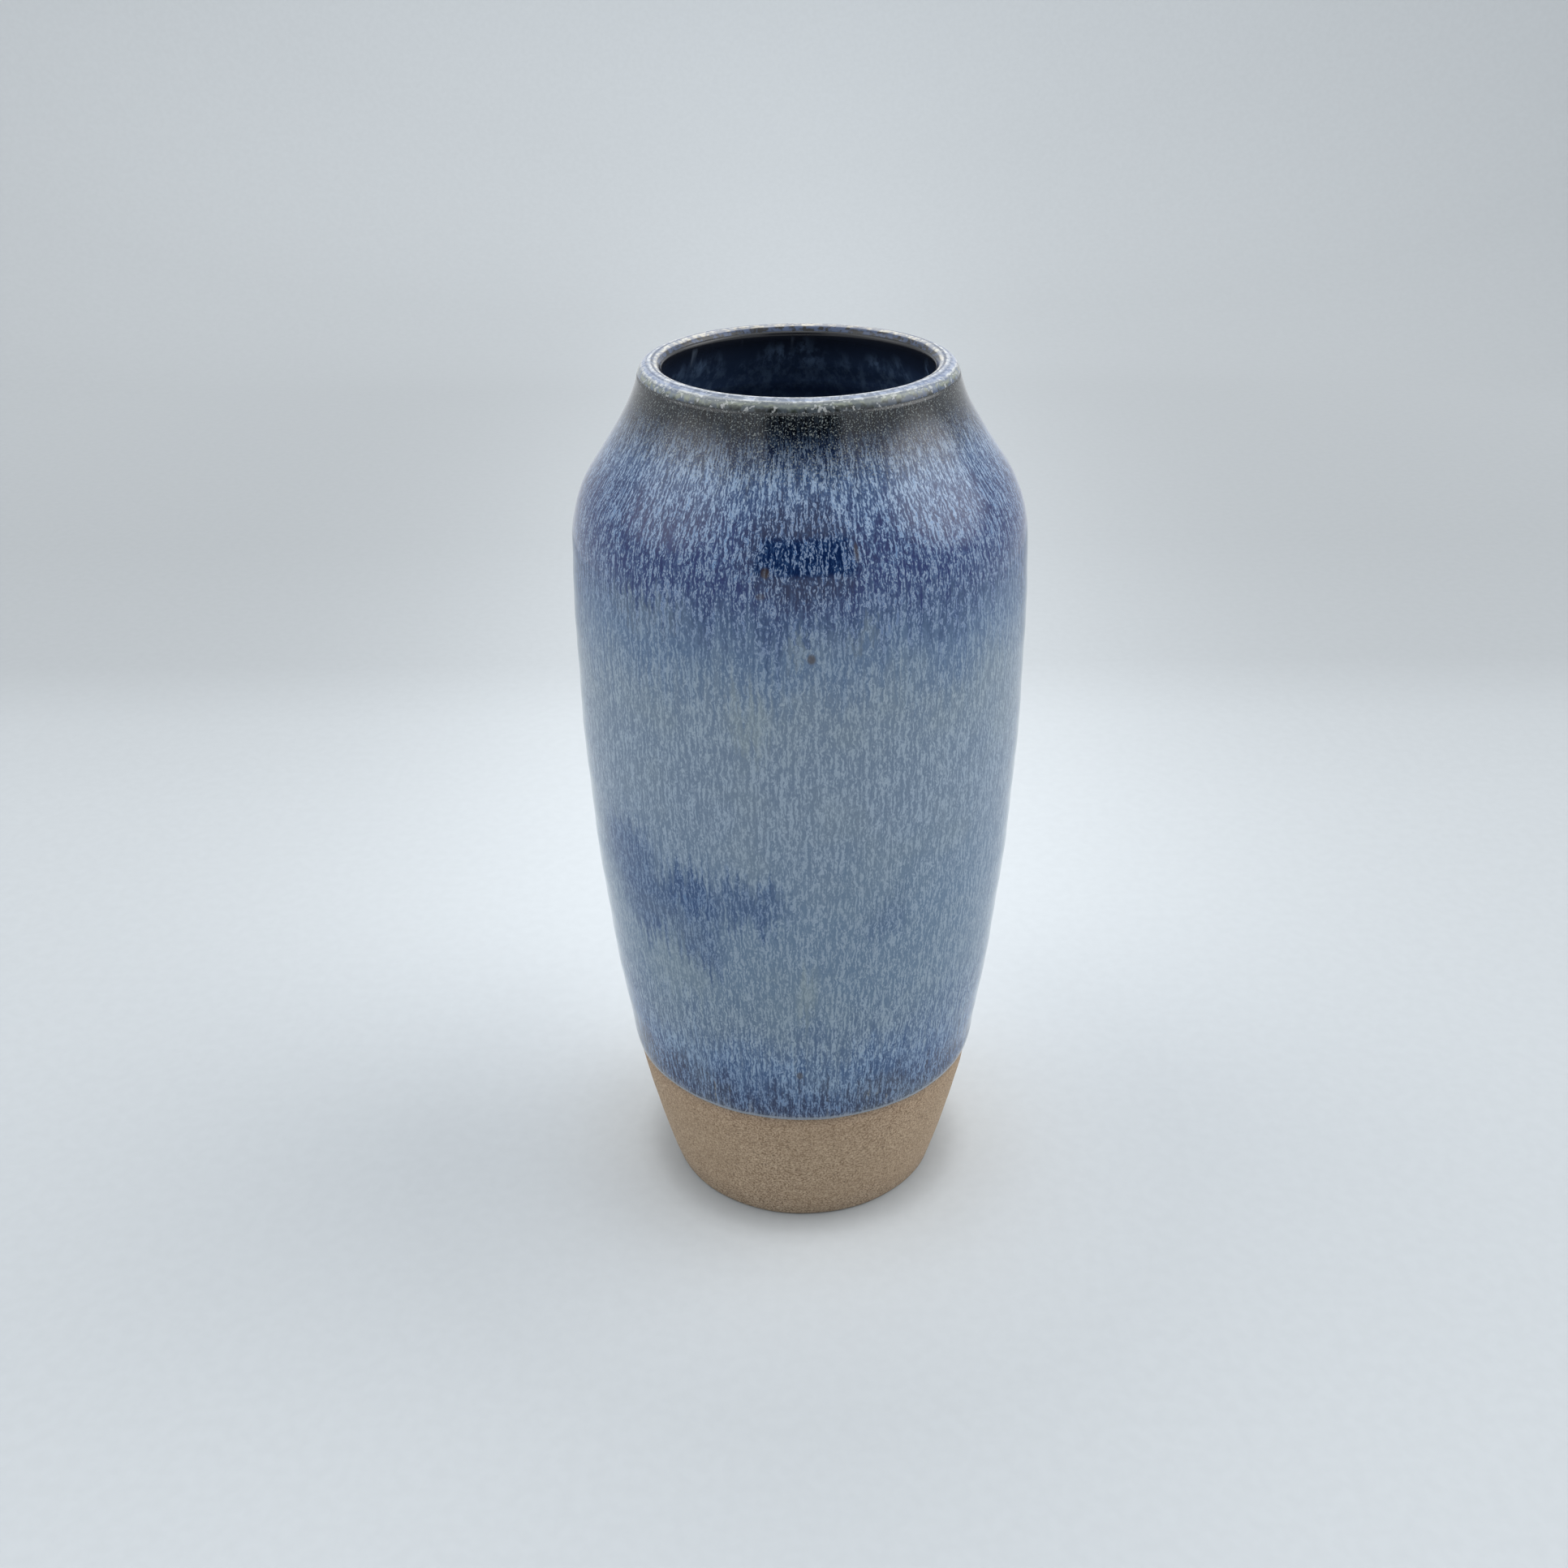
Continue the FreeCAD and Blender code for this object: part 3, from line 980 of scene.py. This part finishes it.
# Painted light and shade on the paper, by distance behind the pot in metres: a lit floor, painted
# shade in the soft fold where it turns up, then the sheet painted brighter again towards the top.
PAPER_PAINTED_LIGHT_AND_SHADE = (
    (-0.60, 0.90),
    (0.05, 0.875),
    (0.22, 0.82),
    (0.30, 0.77),
    (0.37, 0.66),
    (0.55, 0.63),
    (0.90, 0.66),
    (1.10, 0.74),
    (1.30, 0.88),
    (1.45, 1.04),
)
PAPER_WHITE = (0.690, 0.722, 0.742)
TONE_SCALE = 1.2                    # brings the tones below 1 while they are in the ramp
FIBRE_CONTRAST = 0.02
PAPER_ROUGHNESS = 0.8
PAPER_RELIEF = 0.02 * MM
GLOW_TONE = 0.29                    # the painted pool of light behind the pot
GLOW_HALF_WIDTH = 0.40
GLOW_FALLOFF = -5.0
GLOW_NEAR = (-0.12, 0.16)           # each pair is where the glow is gone and where it is
GLOW_FAR = (1.6, 0.3)               # full, by distance behind the pot
CONTACT_REACH = 80.0 * MM
CONTACT_TONES = (                   # from the foot's edge to CONTACT_REACH away from it: painted shadow, then a little painted light
    (0.0, 0.68),
    (0.03, 0.72),
    (0.07, 0.82),
    (0.12, 0.98),
    (0.17, 1.05),
    (0.45, 1.05),
    (1.0, 0.975),
)


def stage_sheet(name, radius, height, paper):
    """A sheet of paper turned about the pot's axis, from its radii and heights."""
    around = np.ones(STAGE_SEGMENTS)
    grid = turned_grid(np.outer(radius, around), np.outer(height, around))
    faces = []
    for first in range(0, (len(radius) - 1) * STAGE_SEGMENTS, STAGE_SEGMENTS):
        faces += hoop_faces(first, first + STAGE_SEGMENTS, STAGE_SEGMENTS)
    sheet = add_mesh(name, grid.reshape(-1, 3), faces)
    sheet.data.materials.append(paper)
    return sheet


def contact_shadow(g, axes):
    """Painted contact shadow on the paper by distance from the axis: dark against the foot,
    painted a little brighter beyond it, then plain.
    """
    reach = g.over(g.minus(g.from_axis(axes), FOOT_RADIUS), CONTACT_REACH)
    return g.ramp(reach, [(way, grey(level)) for way, level in CONTACT_TONES])


def painted_light_pool(g, axes):
    """A painted pool of light on the paper behind the pot."""
    aside = g.over(axes[0], GLOW_HALF_WIDTH)
    across = g.math("EXPONENT", g.times(aside, aside, GLOW_FALLOFF))
    behind = g.times(g.step(axes[1], *GLOW_NEAR), g.step(axes[1], *GLOW_FAR))
    glow = g.times(across, behind, GLOW_TONE / TONE_SCALE)
    return g.combine(glow, glow, glow)


def paper_material():
    """White paper with a slight tooth, with the tent's light and shade painted on it front to
    back.
    """
    material, g = new_material("white_paper")
    position = g.node("TexCoord").outputs["Object"]
    axes = g.node("SeparateXYZ", Vector=position).outputs
    front, back = PAPER_PAINTED_LIGHT_AND_SHADE[0][0], PAPER_PAINTED_LIGHT_AND_SHADE[-1][0]
    # painted light and shade, front to back
    tone = g.ramp(g.over(g.minus(axes[1], front), back - front), [
        ((way - front) / (back - front), grey(level / TONE_SCALE))
        for way, level in PAPER_PAINTED_LIGHT_AND_SHADE
    ])
    # painted contact shadow, with painted light a little beyond it
    tone = g.vector("MULTIPLY", tone, contact_shadow(g, axes))
    # painted pool of light behind the pot
    tone = g.vector("ADD", tone, painted_light_pool(g, axes))
    fibre = g.noise(position, 240.0)
    darkest, lightest = TONE_SCALE - FIBRE_CONTRAST, TONE_SCALE + FIBRE_CONTRAST
    tone = g.scaled(tone, g.step(fibre, 0.2, 0.8, darkest, lightest))
    colour = g.vector("MULTIPLY", tone, PAPER_WHITE)
    return finish_material(g, material, colour, PAPER_ROUGHNESS, fibre, PAPER_RELIEF)


def build_stage():
    """The tent's floor, and a backdrop beyond it that only the camera sees."""
    paper = paper_material()
    floor_radius = np.array([0.5 * MM, 0.2, FLOOR_EDGE])
    stage_sheet("tent_floor", floor_radius, np.full(3, -FLOOR_DROP), paper)
    turn = np.linspace(0.0, math.pi / 2.0, 24)
    cove_radius = ARENA_FLAT + COVE_ROUND * np.sin(turn)
    cove_height = COVE_ROUND * (1.0 - np.cos(turn)) - FLOOR_DROP
    radius = np.concatenate([[FLOOR_EDGE], cove_radius, [ARENA_FLAT + COVE_ROUND]])
    height = np.concatenate([[-FLOOR_DROP], cove_height, [ARENA_HEIGHT]])
    backdrop = stage_sheet("backdrop", radius, height, paper)
    backdrop.visible_diffuse = False
    backdrop.visible_glossy = False
    backdrop.visible_shadow = False


# ---------------------------------------------------------------- light

TENT_LEVEL, TENT_TOP = (0.78, 0.81, 0.84, 1.0), (0.90, 0.94, 0.98, 1.0)
TENT_TOP_ELEVATION = 80.0
TENT_STRENGTH = 0.97
GLOWING_WALLS = (                   # (azimuth, elevation, strength) of the glow's middle
    (-84.0, 38.0, 1.1),
    (95.0, 36.0, 2.3),
)
WALL_GLOW_EDGE, WALL_GLOW_CORE = 34.0, 6.0
FIGURE_TONE = (0.020, 0.022, 0.026, 1.0)
FIGURE_AZIMUTH = 2.5                # of the dark figure in the tent's open front
FIGURE_HALF_WIDTH = (24.5, 27.0)    # each pair is the figure's edge and where it has faded
FIGURE_TOP = (40.0, 46.0)
FIGURE_FOOT = (14.0, 7.0)

LIGHT_AZIMUTH, LIGHT_ELEVATION = 178.0, 62.0
LIGHT_DISTANCE = 0.80
LIGHT_WIDTH, LIGHT_HEIGHT = 0.50, 0.30
LIGHT_RADIANCE = 1.2
LIGHT_TONE = (0.97, 0.99, 1.0)
LIGHT_AIM = 0.9                     # height that the light faces, in vase heights


def towards(azimuth, elevation):
    """The direction of an azimuth and elevation in degrees, seen from the pot."""
    turn, rise = math.radians(azimuth), math.radians(elevation)
    return Vector((math.sin(turn) * math.cos(rise), -math.cos(turn) * math.cos(rise),
                   math.sin(rise)))


def around_figure(g, axes):
    """0 in the direction of the dark figure, and 1 everywhere else."""
    azimuth = g.math("ARCTAN2", axes[0], g.times(axes[1], -1.0))
    elevation = g.math("ARCSINE", axes[2])
    aside = g.math("ABSOLUTE", g.minus(azimuth, math.radians(FIGURE_AZIMUTH)))
    beyond = [
        g.step(angle, *map(math.radians, edge))
        for angle, edge in (
            (aside, FIGURE_HALF_WIDTH), (elevation, FIGURE_TOP), (elevation, FIGURE_FOOT)
        )
    ]
    return reduce(lambda first, second: g.math("MAXIMUM", first, second), beyond)


def build_world():
    """A white light tent with glowing side walls and a dark figure in its open front."""
    world = bpy.data.worlds.new("light_tent")
    bpy.context.scene.world = world
    world.use_nodes = True
    g = Graph(world.node_tree)
    axes = g.node("SeparateXYZ", Vector=g.node("TexCoord").outputs["Generated"]).outputs
    ceiling = g.step(g.math("ARCSINE", axes[2]), 0.0, math.radians(TENT_TOP_ELEVATION))
    white = g.mix(ceiling, TENT_LEVEL, TENT_TOP)
    direction = g.combine(*axes[:3])
    edge, core = math.cos(math.radians(WALL_GLOW_EDGE)), math.cos(math.radians(WALL_GLOW_CORE))
    for azimuth, elevation, strength in GLOWING_WALLS:
        closeness = g.measure("DOT_PRODUCT", direction, towards(azimuth, elevation))
        glow = g.step(closeness, edge, core, 0.0, strength)
        white = g.vector("ADD", white, g.combine(glow, glow, glow))
    colour = g.mix(around_figure(g, axes), FIGURE_TONE, white)
    background = g.node("Background", Color=colour, Strength=TENT_STRENGTH)
    g.node("OutputWorld", Surface=background.outputs[0])


def build_light():
    """A soft panel behind and above the pot, facing its shoulder."""
    lamp = bpy.data.lights.new("back_light", "AREA")
    lamp.shape = "ELLIPSE"
    lamp.size, lamp.size_y = LIGHT_WIDTH, LIGHT_HEIGHT
    area = math.pi * LIGHT_WIDTH * LIGHT_HEIGHT / 4.0
    lamp.energy = LIGHT_RADIANCE * math.pi * area
    lamp.color = LIGHT_TONE
    light = bpy.data.objects.new("back_light", lamp)
    bpy.context.scene.collection.objects.link(light)
    way = towards(LIGHT_AZIMUTH, LIGHT_ELEVATION)
    light.location = Vector((0.0, 0.0, HEIGHT * LIGHT_AIM)) + way * LIGHT_DISTANCE
    light.rotation_mode = "QUATERNION"
    light.rotation_quaternion = (-way).to_track_quat("-Z", "Y")
    light.visible_camera = False


# ---------------------------------------------------------------- camera

CAMERA_DISTANCE = 1.7265            # of the camera from the axis, in vase heights
CAMERA_HEIGHT = 1.4333              # above the table, in vase heights
CAMERA_YAW, CAMERA_PITCH, CAMERA_ROLL = -0.661, 28.23, 0.701
CAMERA_LENS, SENSOR_WIDTH = 38.83, 36.0


def build_camera():
    """The camera in front of the pot, looking down on it, yawed and rolled a little."""
    yaw, pitch, roll = map(math.radians, (CAMERA_YAW, CAMERA_PITCH, CAMERA_ROLL))
    forward = Vector((math.sin(yaw) * math.cos(pitch), math.cos(yaw) * math.cos(pitch),
                      -math.sin(pitch)))
    level = Vector((math.cos(yaw), -math.sin(yaw), 0.0))
    upright = level.cross(forward)
    right = level * math.cos(roll) - upright * math.sin(roll)
    up = level * math.sin(roll) + upright * math.cos(roll)
    lens = bpy.data.cameras.new("camera")
    lens.lens = CAMERA_LENS
    lens.sensor_width = SENSOR_WIDTH
    camera = bpy.data.objects.new("camera", lens)
    bpy.context.scene.collection.objects.link(camera)
    turn = Matrix((right, up, -forward)).transposed().to_4x4()
    place = Matrix.Translation((0.0, -CAMERA_DISTANCE * HEIGHT, CAMERA_HEIGHT * HEIGHT))
    camera.matrix_world = place @ turn
    bpy.context.scene.camera = camera


bpy.context.scene.view_settings.view_transform = "Standard"
build_camera()
build_vase()
build_stage()
build_world()
build_light()
